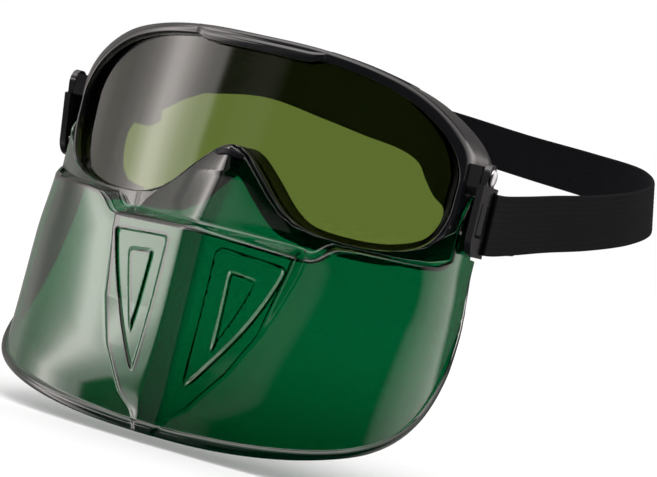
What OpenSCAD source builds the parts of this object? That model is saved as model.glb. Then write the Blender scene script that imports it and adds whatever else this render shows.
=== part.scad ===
/* [Goggle body] */
// Distance from the face plane back to the centre of every curved shell
bow_y = 59; // [57:0.5:61]
// Radius of the front face of the body
rim_r = 129; // [128:0.5:130]
// Radius of the front face of the lens
lens_r = 125; // [124:0.5:126]
// Thickness of the lens
lens_t = 2; // [1.6:0.1:2.4]
// Radius of the front face of the face flange
flange_r = 108.5; // [107:0.5:109]
// Thickness of the face flange
flange_t = 2.5; // [2:0.1:3]
// Thickness of the foam face seal
seal_t = 6; // [5:0.5:7]

/* [Shield] */
// Half width of the shield at its upper rear corners
shield_top_a = 86.4; // [86:0.1:86.5]
// Half width of the shield along its lower half
shield_low_a = 88; // [87:0.5:89]
// How far the front of the collar stands before the rear edge
shield_top_b = 56.5; // [56.5:0.5:58]
// How far the front of the chin stands before the rear edge
shield_low_b = 72; // [70:0.5:73]
// Wall of the shield
shield_t = 1.8; // [1.5:0.1:2]
// Half width of the chin panel at its upper edge
chin_w = 38; // [37:0.5:39.5]

/* [Strap] */
// Width of the elastic strap
strap_w = 24; // [22:0.5:25]
// Thickness of the elastic strap
strap_t = 1.4; // [1.2:0.1:1.5]
// Lean of the strap at the back of the head
strap_lean = 30; // [20:1:35]
// Turn of the wearer's right clip against the left one
right_tilt = 15; // [10:1:18]

/* [Clips] */
// Place of the clip pivot behind the lens, along y
pivot_y = -33; // [-34:0.5:-32]
// Height of the clip pivot
pivot_z = 2.4; // [2:0.1:3]
// Radius of the pivot pin
pin_r = 2; // [1.8:0.1:2.2]
// Radial clearance of the clip on its pin
pin_gap = 0.06; // [0.04:0.01:0.1]
// Inner face of the clip plate, from the middle
clip_x = 88.4; // [88.3:0.1:88.6]
// Thickness of the clip plate
clip_t = 2.5; // [2:0.1:2.6]

/* [Hidden] */
$fn = 48;
seal_rear_r = flange_r - flange_t - seal_t;
outline_steps = 4;

// Half outlines in x and z, from the top middle down to the bottom middle
view_half = [[0, 29.5], [24, 29.3], [45, 26.8], [61.5, 21.3], [74, 12], [79.8, 1.5], [80.5, -9],
    [79.5, -19], [75, -28], [66, -33], [52, -34.8], [38, -34], [29, -31], [22, -26],
    [14, -17.5], [6, -10.3], [0, -8.3]];
body_half = [[0, 34.3], [24, 34], [45, 31.6], [62, 26.8], [75.5, 18], [82.6, 8], [83.1, -4.5],
    [82.8, -14], [80.5, -26], [72, -35], [58, -39.2], [40, -39.8], [27, -38.5], [20, -35],
    [12, -27.5], [5, -20.5], [0, -18.5]];
face_half = [[0, 12.5], [24, 9.5], [40, 7], [52, 5.4], [59.5, 2.2], [63.5, -4], [67, -9],
    [71, -13], [70.5, -20], [66.5, -26.5], [57, -31], [45, -32.5], [31, -31.5], [23, -27.5],
    [15, -20], [7, -13.5], [0, -11.8]];

// Catmull-Rom point between b and c
function cr(a, b, c, d, t) = 0.5 * (2 * b + (c - a) * t + (2 * a - 5 * b + 4 * c - d) * t * t
    + (3 * b - a - 3 * c + d) * t * t * t);
function wrap(list, i) = list[(i + len(list)) % len(list)];
function smooth_loop(p, n) = [for (i = [0:len(p) - 1], k = [0:n - 1])
    cr(wrap(p, i - 1), p[i], wrap(p, i + 1), wrap(p, i + 2), k / n)];
function end_pt(p, i) = i < 0 ? 2 * p[0] - p[1]
    : i >= len(p) ? 2 * p[len(p) - 1] - p[len(p) - 2] : p[i];
function smooth_line(p, n) = concat([for (i = [0:len(p) - 2], k = [0:n - 1])
    cr(end_pt(p, i - 1), p[i], p[i + 1], end_pt(p, i + 2), k / n)], [p[len(p) - 1]]);
function both_sides(h) = concat(h, [for (i = [len(h) - 2:-1:1]) [-h[i][0], h[i][1]]]);
function outline(h) = smooth_loop(both_sides(h), outline_steps);
// Moves each point of a clockwise outline outwards by d
function grown(p, d) = [for (i = [0:len(p) - 1])
    let (t = wrap(p, i + 1) - wrap(p, i - 1)) p[i] + d * [-t[1], t[0]] / norm(t)];
function mix(a, b, t) = a + (b - a) * t;
function clamp01(t) = min(1, max(0, t));
function ease(t) = let (u = clamp01(t)) u * u * (3 - 2 * u);

// A front outline drawn through the whole depth of the goggles
module through(points) {
    rotate([90, 0, 0])
        translate([0, 0, -20])
            linear_extrude(120)
                polygon(points);
}

// The space between two radii of the shared bow
module shell(r_out, r_in) {
    translate([0, bow_y, -60])
        difference() {
            cylinder(r = r_out, h = 120, $fn = 180);
            translate([0, 0, -1])
                cylinder(r = r_in, h = 122, $fn = 180);
        }
}

// A block that keeps one stretch of a ring, side is 1 for the wearer's left
module stretch(side, x0, x1, z0, z1) {
    translate([side > 0 ? x0 : -x1, -90, z0])
        cube([x1 - x0, 100, z1 - z0]);
}

/* ---- goggle body ---- */
module frame_body() {
    view = outline(view_half);
    body = outline(body_half);
    color("#15161b")
        difference() {
            intersection() {
                through(body);
                shell(rim_r, flange_r - flange_t);
            }
            // room before the lens and behind it, down to the flange
            intersection() {
                through(view);
                shell(rim_r + 5, flange_r);
            }
            // groove that holds the edge of the lens
            intersection() {
                through(grown(view, 1.5));
                shell(lens_r, lens_r - lens_t);
            }
            // opening for the face
            through(outline(face_half));
            for (side = [-1, 1]) {
                lug_block(side);
                grip_disc(side);
                vent_plate(side, 26, 56, 1);
                vent_plate(side, 40, 62, -1);
                vent_hole(side, 29, 53, 1);
                vent_hole(side, 43, 59, -1);
            }
            catch_block();
            collar_seat();
        }
}

module lens() {
    color("#66792f")
        intersection() {
            through(grown(outline(view_half), 1.5));
            shell(lens_r, lens_r - lens_t);
        }
}

module face_seal() {
    color("#1d1d20")
        difference() {
            intersection() {
                through(grown(outline(body_half), -2.5));
                shell(flange_r - flange_t, seal_rear_r);
            }
            through(grown(outline(face_half), 1.5));
        }
}

module brow_tab() {
    tab = [[-27, 34], [-24, 28.6], [-20, 27.8], [20, 27.8], [24, 28.6], [27, 34],
        [20, 34.2], [-20, 34.2]];
    color("#1a1b20")
        intersection() {
            through([for (i = [len(tab) - 1:-1:0]) tab[i]]);
            shell(rim_r + 1.3, rim_r);
        }
}

// Moulded peg on the nose bridge that the shield hooks over
module catch_block() {
    translate([-3.6, -bow_y - 15.5, -14.6])
        cube([7.2, 8, 2.2]);
}

module nose_catch() {
    color("#101114")
        catch_block();
}

/* ---- vent covers, set flush in the top and lower walls ---- */
module vent_plate(side, x0, x1, up) {
    body = outline(body_half);
    intersection() {
        difference() {
            through(grown(body, 0.4));
            through(grown(body, -1.4));
        }
        shell(121, 112);
        stretch(side, x0, x1, up > 0 ? 5 : -60, up > 0 ? 60 : -30);
    }
}

// Air hole under a vent cover
module vent_hole(side, x0, x1, up) {
    intersection() {
        through(grown(outline(body_half), -1));
        shell(119, 114);
        stretch(side, x0, x1, up > 0 ? 12 : -60, up > 0 ? 60 : -33);
    }
}

module vent_cover(side, x0, x1, up) {
    color("#202127")
        difference() {
            vent_plate(side, x0, x1, up);
            // three slots across each cover
            for (i = [1:3])
                translate([side * mix(x0, x1, i / 4) - 0.6, -90, up > 0 ? 0 : -60])
                    cube([1.2, 31, 60]);
        }
}

/* ---- side fittings ---- */
module lug_block(side) {
    x = side > 0 ? 82.5 : -88;
    translate([x, pivot_y - 5, pivot_z - 5])
        cube([5.5, 10, 8.5]);
}

module lug(side) {
    color("#17181c")
        difference() {
            lug_block(side);
            pin_bore(side, pin_r);
        }
}

module pin_bore(side, r) {
    translate([side > 0 ? 83.5 : -95.5, pivot_y, pivot_z])
        rotate([0, 90, 0])
            cylinder(r = r, h = 12);
}

module pin(side) {
    length = clip_x + clip_t + 0.3 - 83.5;
    dome = [for (t = [0:15:90]) [3.4 * cos(t), length + 1.4 * sin(t)]];
    color("#c9ccd2")
        translate([side * 83.5, pivot_y, pivot_z])
            rotate([0, side * 90, 0])
                rotate_extrude()
                    polygon(concat([[0, 0], [pin_r, 0], [pin_r, length]], dome));
}

// Rubber pad that grips the inside of the shield's ear
module grip_disc(side) {
    translate([side > 0 ? 82.3 : -83.5, -28.5, -13])
        rotate([0, 90, 0])
            cylinder(r = 4, h = 1.2);
}

module grip_pad(side) {
    color("#26272b")
        grip_disc(side);
}

/* ---- face shield ---- */
shield_rear_y = -14;
collar_r = 128.6;
// Height of the upper edge against the distance round the collar from the nose
top_edge = [[0, -8.8], [3, -9.6], [7, -12.4], [12, -17.6], [18, -24], [24, -29.6], [30, -33],
    [40, -34.6], [52, -35], [62, -34.2], [70, -32], [77, -28.4], [83, -24.5], [90, -20.5],
    [95, -13], [99, -6], [107, -5], [109.5, -13], [111, -29.5], [130, -30.5]];
// Height of the step under the collar against the distance from the middle
step_edge = [[0, -43.2], [30, -44.2], [chin_w, -44.6], [40, -43.4], [42.5, -40], [45, -37.8],
    [50, -36.8], [70, -36], [78, -35], [84, -32.5]];
// Half width of the chin panel, and of the nose saddle, at each height
chin_edge = [[-119, 3], [-113, 7], [-108, 13], [-92, 24], [-75, 31.5], [-50, chin_w - 1],
    [-41, chin_w]];
saddle_edge = [[-45, 37], [-36, 31], [-30, 25.4], [-23.8, 19.8], [-17.4, 13.9], [-10, 6],
    [-8, 5]];
// How far the middle of the chin stands forward, and its sides before the wall, at each height
chin_ridge = [[-119, -86.6], [-108, -87.6], [-92, -86.8], [-75, -86], [-41, -86]];
chin_proud = [[-116, 0.2], [-106, 0.9], [-75, 1.2], [-50, 5.6], [-41, 6.2]];
nose_ridge = [[-45, -84.5], [-20, -73.4], [-8, -71]];

function shield_a(z) = mix(shield_top_a, shield_low_a, ease((-33 - z) / 27));
function shield_b(z) = mix(shield_top_b, shield_low_b, ease((-33 - z) / 82));
function shield_n(z) = mix(3.4, 2.9, ease((-40 - z) / 60));
// How far the plan curve stands from the rear edge in direction a at height z
function base_reach(a, z) = let (n = shield_n(z))
    pow(pow(abs(sin(a)) / shield_a(z), n) + pow(abs(cos(a)) / shield_b(z), n), -1 / n);
function collar_reach(a) = let (d = bow_y - shield_rear_y)
    sqrt(collar_r * collar_r - d * d * sin(a) * sin(a)) - d * cos(a);
function upper_reach(a, z) = min(base_reach(a, z), collar_reach(a));
function in_direction(a, r) = [r * sin(a), shield_rear_y - r * cos(a)];
// Direction of the plan curve's point that is x from the middle
function direction_of(x, z) = let (n = shield_n(z))
    atan2(x, shield_b(z) * pow(1 - pow(x / shield_a(z), n), 1 / n));
// Column k runs from 0 at the middle through 1 at the chin panel's edge to 2 at the rear
function column_way(k, z) = k <= 1 ? direction_of(k * lookup(z, chin_edge), z)
    : mix(direction_of(lookup(z, chin_edge) + 2, z), 90, k - 1);
function bend(x) = let (u = x - 4.3) (u + sqrt(u * u + 0.9)) / 2;
// A flat middle and two flat sides that end a little before the wall at the panel's edge
function chin_face(x, z) = let (
    edge = lookup(z, chin_edge),
    way = direction_of(edge, z),
    side = in_direction(way, base_reach(way, z))[1] - lookup(z, chin_proud),
    middle = lookup(z, chin_ridge),
    rise = (side - middle) / max(bend(edge) - bend(0), 2))
    middle + rise * (bend(x) - bend(0));
function collar_way(p) = p[0] + max(0, p[1] + 45);
function low_z(a) = let (q = 1 - pow(abs(cos(a)), 0.72))
    -120.5 + 83 * (1 - pow(1 - pow(q, 1.45), 0.7));

function collar_point(k, z) = let (
    a = column_way(k, z),
    p = in_direction(a, upper_reach(a, z)),
    t = min(1, p[0] / lookup(z, saddle_edge)),
    roof = pow(t * t / (0.35 * t * t + 0.65), 0.8))
    [p[0], mix(lookup(z, nose_ridge), p[1], roof), z];
function base_point(k, z) = let (
    a = column_way(k, z),
    p = in_direction(a, base_reach(a, z)))
    [p[0], k <= 1 ? chin_face(p[0], z) : p[1], z];
// Row 0 is the upper edge, 1 the top of the step, 2 its foot and 3 the lower edge
function right_point(k, row) = let (
    a = column_way(k, -30),
    top = lookup(collar_way(in_direction(a, upper_reach(a, -30))), top_edge),
    low = low_z(column_way(k, -116)),
    level = lookup(in_direction(a, upper_reach(a, -38))[0], step_edge),
    high = min(level + mix(4.5, 1, clamp01((k - 1) / 0.2)), top - 0.4),
    foot = max(min(level, high - 0.4), mix(low, high, k > 1 ? 0.5 : 0)),
    p = row <= 1 ? collar_point(k, mix(top, high, row))
        : base_point(k, mix(foot, low, row - 2)),
    lip = 1.6 * ease((row - 2.94) / 0.06) * clamp01((foot - low - 12) / 30),
    nx = pow(min(1, p[0] / shield_a(p[2])), 2))
    p + lip * [nx, -sqrt(1 - nx), 0];
function shield_point(k, row) = let (p = right_point(abs(k), row)) [sign(k) * p[0], p[1], p[2]];

side_cols = [1.001, 1.05, 1.14, 1.24, 1.34, 1.44, 1.53, 1.61, 1.68, 1.75, 1.82, 1.88, 1.94, 2];
half_cols = concat([0.17, 0.33, 0.5, 0.67, 0.83, 1], side_cols);
columns = concat([for (i = [len(half_cols) - 1:-1:0]) -half_cols[i]], [0], half_cols);
rows = [0, 0.25, 0.5, 0.75, 1, 2, 2.08, 2.2, 2.34, 2.48, 2.62, 2.75, 2.87, 2.95, 3];
skin = [for (row = rows) [for (k = columns) shield_point(k, row)]];
// Skin point moved inwards by the wall
function inner(i, j) = let (
    m = len(rows) - 1,
    n = len(columns) - 1,
    up = skin[max(0, i - 1)][j] - skin[min(m, i + 1)][j],
    along = skin[i][min(n, j + 1)] - skin[i][max(0, j - 1)],
    out = cross(up, along))
    skin[i][j] + shield_t * out / norm(out);

module curved_wall(outer, inner, nu, nv) {
    n = (nu + 1) * (nv + 1);
    at = function (i, j) j * (nu + 1) + i;
    quads = concat(
        [for (i = [0:nu - 1], j = [0:nv - 1]) each
            let (a = at(i, j), b = at(i + 1, j), c = at(i + 1, j + 1), d = at(i, j + 1))
            [[a, b, c], [a, c, d], [n + a, n + c, n + b], [n + a, n + d, n + c]]],
        [for (i = [0:nu - 1]) each
            let (a = at(i, 0), b = at(i + 1, 0), c = at(i, nv), d = at(i + 1, nv))
            [[b, a, n + a], [b, n + a, n + b], [c, d, n + d], [c, n + d, n + c]]],
        [for (j = [0:nv - 1]) each
            let (a = at(0, j), b = at(0, j + 1), c = at(nu, j), d = at(nu, j + 1))
            [[a, b, n + b], [a, n + b, n + a], [d, c, n + c], [d, n + c, n + d]]]);
    polyhedron(concat(outer, inner), quads);
}

module face_shield() {
    color("#00602f", 0.85)
        difference() {
            curved_wall([for (row = skin) each row],
                [for (i = [0:len(rows) - 1], j = [0:len(columns) - 1]) inner(i, j)],
                len(columns) - 1, len(rows) - 1);
            // slot that hooks over the nose catch
            translate([-4.6, -90, -15.6])
                cube([9.2, 40, 4.2]);
        }
}

// Everything in front of the body that the shield's collar lies against
module collar_seat() {
    seat = [for (j = [0:len(columns) - 1]) if (abs(columns[j]) < 1.9)
        let (p = abs(skin[0][j][0]) > 60 ? inner(0, j) : skin[0][j]) [p[0], p[2] + 0.6]];
    edge = concat([[-95, -60]], [[-95, seat[0][1]]], seat, [[95, seat[0][1]]], [[95, -60]]);
    intersection() {
        through(edge);
        shell(rim_r + 5, collar_r - shield_t - 1.3);
    }
}

/* ---- clips and strap ---- */
clip_top = -1;
clip_low = -28.4;
clip_front = -40.5;
clip_rear = -21;

module clip_outline() {
    // the outline is drawn in y and z
    difference() {
        union() {
            translate([clip_front + 8, clip_low])
                square([clip_rear - clip_front - 8, clip_top - clip_low]);
            translate([clip_front, clip_low + 8])
                square([12, clip_top - clip_low - 8]);
            translate([clip_front + 8, clip_low + 8])
                circle(r = 8);
            translate([pivot_y - 5, clip_top - 2])
                square([10, pivot_z - clip_top + 2]);
            translate([pivot_y, pivot_z])
                circle(r = 5);
        }
        // slot for the strap
        translate([clip_rear - 5.4, clip_low + 1.4])
            square([3, clip_top - clip_low - 2.8]);
        // slit that frees the latch tongue
        difference() {
            translate([-37.5, -21])
                square([9, 13]);
            translate([-36.3, -19.8])
                square([6.6, 14]);
        }
    }
}

// Turns what hangs on the wearer's right pin to the lie of the strap on that side
module hung(side) {
    translate([0, pivot_y, pivot_z])
        rotate([side > 0 ? 0 : right_tilt, 0, 0])
            translate([0, -pivot_y, -pivot_z])
                children();
}

module clip(side) {
    x = side > 0 ? clip_x : -clip_x - clip_t;
    color("#131417")
        difference() {
            hung(side)
                translate([x, 0, 0])
                    rotate([90, 0, 90])
                        linear_extrude(clip_t)
                            clip_outline();
            pin_bore(side, pin_r + pin_gap);
        }
}

// Ribbon along stations [x, y, z, lean], its width upright and its thickness across the path
module ribbon(stations, w, t) {
    m = len(stations);
    place = [for (s = stations) [s[0], s[1], s[2]]];
    rings = [for (i = [0:m - 1])
        let (run = place[min(m - 1, i + 1)] - place[max(0, i - 1)],
            flat = cross(run, [0, 0, 1]) / norm(cross(run, [0, 0, 1])),
            up = cross(flat, run) / norm(run),
            lean = stations[i][3],
            wide = (up * cos(lean) - flat * sin(lean)) * w / 2,
            thick = (flat * cos(lean) + up * sin(lean)) * t / 2) each
        [place[i] - wide - thick, place[i] - wide + thick,
            place[i] + wide + thick, place[i] + wide - thick]];
    walls = [for (i = [0:m - 2], k = [0:3]) each
        let (a = 4 * i + k, b = 4 * i + (k + 1) % 4, c = b + 4, d = a + 4)
        [[a, b, c], [a, c, d]]];
    last = 4 * (m - 1);
    polyhedron(rings, concat(walls, [[0, 2, 1], [0, 3, 2],
        [last, last + 1, last + 2], [last, last + 2, last + 3]]));
}

band_x = clip_x + clip_t + 0.9;
// A station by the wearer's left clip, seen on the wearer's right one
function turned(s) = let (y = s[1] - pivot_y, z = s[2] - pivot_z)
    [-s[0], pivot_y + y * cos(right_tilt) - z * sin(right_tilt),
        pivot_z + y * sin(right_tilt) + z * cos(right_tilt), 0];
clip_end = [[band_x, -24.3, -14.9, 0], [band_x + 0.2, -10, -14.2, 0]];
// Stations chosen round the head, from the wearer's left clip to the right one
head_route = [[94, 14, -11.5, 0], [98, 42, -7.6, 0], [105.5, 80, -2.2, 2], [112.5, 120, 5, 5],
    [112, 157, 12.6, 10], [99, 185, 19.5, 18], [71, 200, 23, 26], [35, 206, 25.5, strap_lean],
    [0, 208, 28.5, strap_lean], [-35, 206, 31, strap_lean], [-70, 200, 34.5, 24],
    [-96, 185, 36.3, 15], [-109.5, 157, 34.5, 6], [-111.2, 120, 25.7, 0], [-106, 84, 16, 0],
    [-100.2, 44, 5.3, 0], [-95.4, 10, -3.8, 0]];

module strap_band() {
    color("#141416")
        ribbon(smooth_line(concat(clip_end, head_route, [turned(clip_end[1]),
            turned(clip_end[0])]), 3), strap_w, strap_t);
}

fold_x = clip_x - 0.95;
module strap_fold(side) {
    route = [[92.6, 14, -12.6, 0], [91.1, 0, -13.6, 0], [band_x - 1.6, -12, -14.3, 0],
        [fold_x, -17.5, -14.7, 0], [fold_x, -21.8, -14.9, 0], [fold_x + 0.5, -23.8, -14.9, 0],
        [fold_x + 1.8, -24.4, -14.9, 0], [band_x - 1.4, -24.4, -14.9, 0]];
    color("#19191c")
        hung(side)
            mirror([side > 0 ? 0 : 1, 0, 0])
                ribbon(smooth_line(route, 3), strap_w - 0.6, strap_t - 0.2);
}

// Free end of the strap, doubled along the outside
tail_route = [[-99.35, 26, 0.5, 0], [-101.95, 44, 5.3, 0], [-107.75, 84, 16, 0],
    [-110.07, 100, 20.3, 0]];

module strap_tail() {
    color("#19191c")
        ribbon(smooth_line(tail_route, 4), strap_w - 0.6, strap_t - 0.2);
}

// Straight stretch that the slider runs along
run_a = [-100.2, 44, 5.3];
run_b = [-106, 84, 16];
run_dir = (run_b - run_a) / norm(run_b - run_a);
slider_mid = (run_a + run_b) / 2 + [-0.82, 0, 0];
slider_l = 14;

module strap_slider() {
    ring_h = strap_w + 7;
    color("#101113")
        translate(slider_mid)
            rotate([0, 0, atan2(run_dir[1], run_dir[0])])
                rotate([0, -asin(run_dir[2]), 0])
                    difference() {
                        translate([-slider_l / 2, -3.6, -ring_h / 2])
                            cube([slider_l, 7.2, ring_h]);
                        translate([-slider_l / 2 - 1, -2.2, -strap_w / 2 - 1.4])
                            cube([slider_l + 2, 4.4, strap_w + 2.8]);
                    }
}

frame_body();
lens();
face_seal();
brow_tab();
nose_catch();
vent_cover(1, 26, 56, 1);  // top_vent_left
vent_cover(-1, 26, 56, 1);  // top_vent_right
vent_cover(1, 40, 62, -1);  // lower_vent_left
vent_cover(-1, 40, 62, -1);  // lower_vent_right
lug(1);  // lug_left
lug(-1);  // lug_right
pin(1);  // pin_left
pin(-1);  // pin_right
grip_pad(1);  // grip_pad_left
grip_pad(-1);  // grip_pad_right
face_shield();
clip(1);  // clip_left
clip(-1);  // clip_right
strap_band();
strap_fold(1);  // strap_fold_left
strap_fold(-1);  // strap_fold_right
strap_tail();
strap_slider();
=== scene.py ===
"""Welding goggles with a detachable face shield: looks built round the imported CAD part.

Lengths are in millimetres up to new_mesh, which writes metres. Node settings, lights and the
camera are in metres. X points to the wearer's left, Y backwards and Z up.
"""
import math

import bmesh
import bpy
import numpy as np
from mathutils import Matrix, Vector


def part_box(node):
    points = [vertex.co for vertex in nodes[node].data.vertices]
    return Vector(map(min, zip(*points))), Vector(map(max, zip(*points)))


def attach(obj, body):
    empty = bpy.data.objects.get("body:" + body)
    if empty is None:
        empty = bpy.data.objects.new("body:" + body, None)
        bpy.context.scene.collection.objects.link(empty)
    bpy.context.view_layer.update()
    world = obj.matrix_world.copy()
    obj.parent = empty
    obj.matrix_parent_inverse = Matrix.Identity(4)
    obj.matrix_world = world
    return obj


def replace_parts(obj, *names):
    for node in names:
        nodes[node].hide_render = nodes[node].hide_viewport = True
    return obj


MM = 0.001

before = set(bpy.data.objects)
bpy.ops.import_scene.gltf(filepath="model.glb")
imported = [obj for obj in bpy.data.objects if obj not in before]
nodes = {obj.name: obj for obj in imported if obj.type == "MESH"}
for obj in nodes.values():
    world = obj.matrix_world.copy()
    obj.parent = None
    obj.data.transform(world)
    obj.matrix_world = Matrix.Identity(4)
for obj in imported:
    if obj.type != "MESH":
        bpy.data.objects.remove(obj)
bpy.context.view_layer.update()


# ------------------------------------------------------------------ small maths
def mix(a, b, t):
    return a + (b - a) * t


def clamp01(t):
    return min(1.0, max(0.0, t))


def ease(t):
    u = clamp01(t)
    return u * u * (3 - 2 * u)


def lookup(x, table):
    return float(np.interp(x, [p[0] for p in table], [p[1] for p in table]))


def catmull(a, b, c, d, t):
    """Catmull-Rom point between b and c."""
    return 0.5 * (2 * b + (c - a) * t + (2 * a - 5 * b + 4 * c - d) * t * t
                  + (3 * b - a - 3 * c + d) * t ** 3)


def smooth_loop(points, steps):
    p = np.array(points, float)
    n = len(p)
    return np.array([catmull(p[i - 1], p[i], p[(i + 1) % n], p[(i + 2) % n], k / steps)
                     for i in range(n) for k in range(steps)])


def smooth_line(points, steps):
    p = np.array(points, float)
    p = np.vstack([2 * p[0] - p[1], p, 2 * p[-1] - p[-2]])
    line = [catmull(p[i - 1], p[i], p[i + 1], p[i + 2], k / steps)
            for i in range(1, len(p) - 2) for k in range(steps)]
    return np.array(line + [p[-2]])


def both_sides(half):
    """Closes an outline drawn from the top middle to the bottom middle with its mirror image."""
    return list(half) + [(-x, z) for x, z in half[-2:0:-1]]


def grown(loop, d):
    """Moves a closed outline outwards by d."""
    t = np.roll(loop, -1, 0) - np.roll(loop, 1, 0)
    out = np.c_[-t[:, 1], t[:, 0]]
    return loop + d * out / np.linalg.norm(out, axis=1, keepdims=True)


# ------------------------------------------------------------------ mesh builders
def new_mesh(name, verts, faces, body):
    mesh = bpy.data.meshes.new(name)
    mesh.from_pydata([tuple(MM * c for c in v) for v in verts], [], faces)
    mesh.validate()
    obj = bpy.data.objects.new(name, mesh)
    bpy.context.scene.collection.objects.link(obj)
    mesh.shade_smooth()
    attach(obj, body)
    return obj


def grid_faces(rows, cols, close_rows=False, close_cols=False, flip=False, start=0):
    """Quads over a grid of points that is stored row by row from the index start."""
    faces = []
    for i in range(rows if close_rows else rows - 1):
        for j in range(cols if close_cols else cols - 1):
            a = start + i * cols + j
            b = start + i * cols + (j + 1) % cols
            c = start + (i + 1) % rows * cols + (j + 1) % cols
            d = start + (i + 1) % rows * cols + j
            faces.append((a, d, c, b) if flip else (a, b, c, d))
    return faces


def edge_faces(rows, cols, n):
    """Quads round the border between a grid of points and a second one stored n points later."""
    last_row, last_col = (rows - 1) * cols, cols - 1
    pairs = [(j, j + 1) for j in range(last_col)]
    pairs += [(last_row + j + 1, last_row + j) for j in range(last_col)]
    pairs += [((i + 1) * cols, i * cols) for i in range(rows - 1)]
    pairs += [(i * cols + last_col, (i + 1) * cols + last_col) for i in range(rows - 1)]
    return [(a, b, n + b, n + a) for a, b in pairs]


def loft_ring(name, rings, body):
    """Joins consecutive loops of points, and the last loop to the first."""
    rings = np.array(rings)
    rows, cols = rings.shape[:2]
    faces = grid_faces(rows, cols, close_rows=True, close_cols=True)
    return new_mesh(name, rings.reshape(-1, 3), faces, body)


def loft_bar(name, rings, body):
    """Joins consecutive loops of points and closes both ends with one face each."""
    rings = np.array(rings)
    rows, cols = rings.shape[:2]
    faces = grid_faces(rows, cols, close_cols=True)
    faces += [tuple(range(cols)), tuple((rows - 1) * cols + j for j in range(cols))[::-1]]
    return new_mesh(name, rings.reshape(-1, 3), faces, body)


def recalc(obj):
    """Turns all faces outwards."""
    bm = bmesh.new()
    bm.from_mesh(obj.data)
    bmesh.ops.recalc_face_normals(bm, faces=bm.faces)
    bm.to_mesh(obj.data)
    bm.free()


# ------------------------------------------------------------------ materials
def material(name, colour, rough, **sockets):
    m = bpy.data.materials.new(name)
    m.use_nodes = True
    shader = m.node_tree.nodes["Principled BSDF"]
    shader.inputs["Base Color"].default_value = (*colour, 1)
    shader.inputs["Roughness"].default_value = rough
    for key, value in sockets.items():
        shader.inputs[key.replace("_", " ")].default_value = value
    return m


def add_node(m, kind, **values):
    node = m.node_tree.nodes.new(kind)
    for key, value in values.items():
        if key in node.inputs:
            node.inputs[key].default_value = value
        else:
            setattr(node, key, value)
    return node


def object_coords(m, scale=(1, 1, 1)):
    """Object coordinates with each axis scaled."""
    coords = add_node(m, "ShaderNodeTexCoord")
    mapping = add_node(m, "ShaderNodeMapping")
    mapping.inputs["Scale"].default_value = scale
    m.node_tree.links.new(coords.outputs["Object"], mapping.inputs["Vector"])
    return mapping.outputs["Vector"]


# The part of the noise's range that the variation is stretched over
NOISE_SPAN = (0.35, 0.65)


def vary(m, socket, low, high, scale, stretch=(1, 1, 1), colour=False):
    """Noise-driven variation of one socket of the shader between low and high."""
    links = m.node_tree.links
    noise = add_node(m, "ShaderNodeTexNoise", Scale=scale, Detail=3.0)
    links.new(object_coords(m, stretch), noise.inputs["Vector"])
    ramp = add_node(m, "ShaderNodeValToRGB")
    levels = (low, high) if colour else ((low,) * 3, (high,) * 3)
    for element, position, level in zip(ramp.color_ramp.elements, NOISE_SPAN, levels):
        element.position = position
        element.color = (*level, 1)
    links.new(noise.outputs["Fac"], ramp.inputs["Fac"])
    links.new(ramp.outputs["Color"], m.node_tree.nodes["Principled BSDF"].inputs[socket])


def bump(m, scale, strength, distance, detail=4.0):
    """Fine noise relief over the whole surface."""
    links = m.node_tree.links
    noise = add_node(m, "ShaderNodeTexNoise", Scale=scale, Detail=detail)
    links.new(object_coords(m), noise.inputs["Vector"])
    relief = add_node(m, "ShaderNodeBump", Strength=strength, Distance=distance)
    links.new(noise.outputs["Fac"], relief.inputs["Height"])
    links.new(relief.outputs["Normal"], m.node_tree.nodes["Principled BSDF"].inputs["Normal"])


def paint(obj, m):
    obj.data.materials.clear()
    obj.data.materials.append(m)


# Distances in metres from the middle over which the painted shade along the shield's keel fades
# out, the share of that painted shade in the middle, and its colour
KEEL_SPAN = (0.003, 0.007)
KEEL_SHARE = 0.5
KEEL_SHADE_COLOUR = (0, 0.01, 0.005, 1)


def smooth_range(m, value, start, end, first=0.0, last=1.0):
    """Maps a socket's value from start..end to first..last, easing at both ends."""
    node = add_node(m, "ShaderNodeMapRange", interpolation_type="SMOOTHSTEP")
    for name, level in zip(("From Min", "From Max", "To Min", "To Max"),
                           (start, end, first, last)):
        node.inputs[name].default_value = level
    m.node_tree.links.new(value, node.inputs["Value"])
    return node.outputs["Result"]


def shade_low_and_keel(m, low, low_colour, high, high_colour):
    """Painted shade: colour that grows darker from one height down to another, and along the keel.
    """
    links = m.node_tree.links
    split = add_node(m, "ShaderNodeSeparateXYZ")
    links.new(object_coords(m), split.inputs[0])
    ramp = add_node(m, "ShaderNodeValToRGB")
    ramp.color_ramp.elements[0].color = low_colour
    ramp.color_ramp.elements[1].color = high_colour
    links.new(smooth_range(m, split.outputs["Z"], low, high), ramp.inputs["Fac"])
    across = add_node(m, "ShaderNodeMath", operation="ABSOLUTE")
    links.new(split.outputs["X"], across.inputs[0])
    # painted shade: the darker keel colour is mixed in along the middle of the shield
    thick = add_node(m, "ShaderNodeMix", data_type="RGBA")
    thick.inputs["B"].default_value = KEEL_SHADE_COLOUR
    links.new(smooth_range(m, across.outputs[0], *KEEL_SPAN, KEEL_SHARE, 0),
              thick.inputs["Factor"])
    links.new(ramp.outputs["Color"], thick.inputs["A"])
    links.new(thick.outputs["Result"], m.node_tree.nodes["Principled BSDF"].inputs["Base Color"])


gloss_black = material("gloss_black", (0.006, 0.0062, 0.0075), 0.14, IOR=1.5)
vary(gloss_black, "Roughness", 0.1, 0.19, 60)
bump(gloss_black, 900, 0.03, 0.0002)
satin_black = material("satin_black", (0.012, 0.012, 0.014), 0.36)
vary(satin_black, "Roughness", 0.3, 0.44, 140)
bump(satin_black, 2600, 0.12, 0.0002)
green_shield = material("green_shield", (0.0004, 0.08, 0.023), 0.04, IOR=1.55,
                        Transmission_Weight=1.0)
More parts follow.
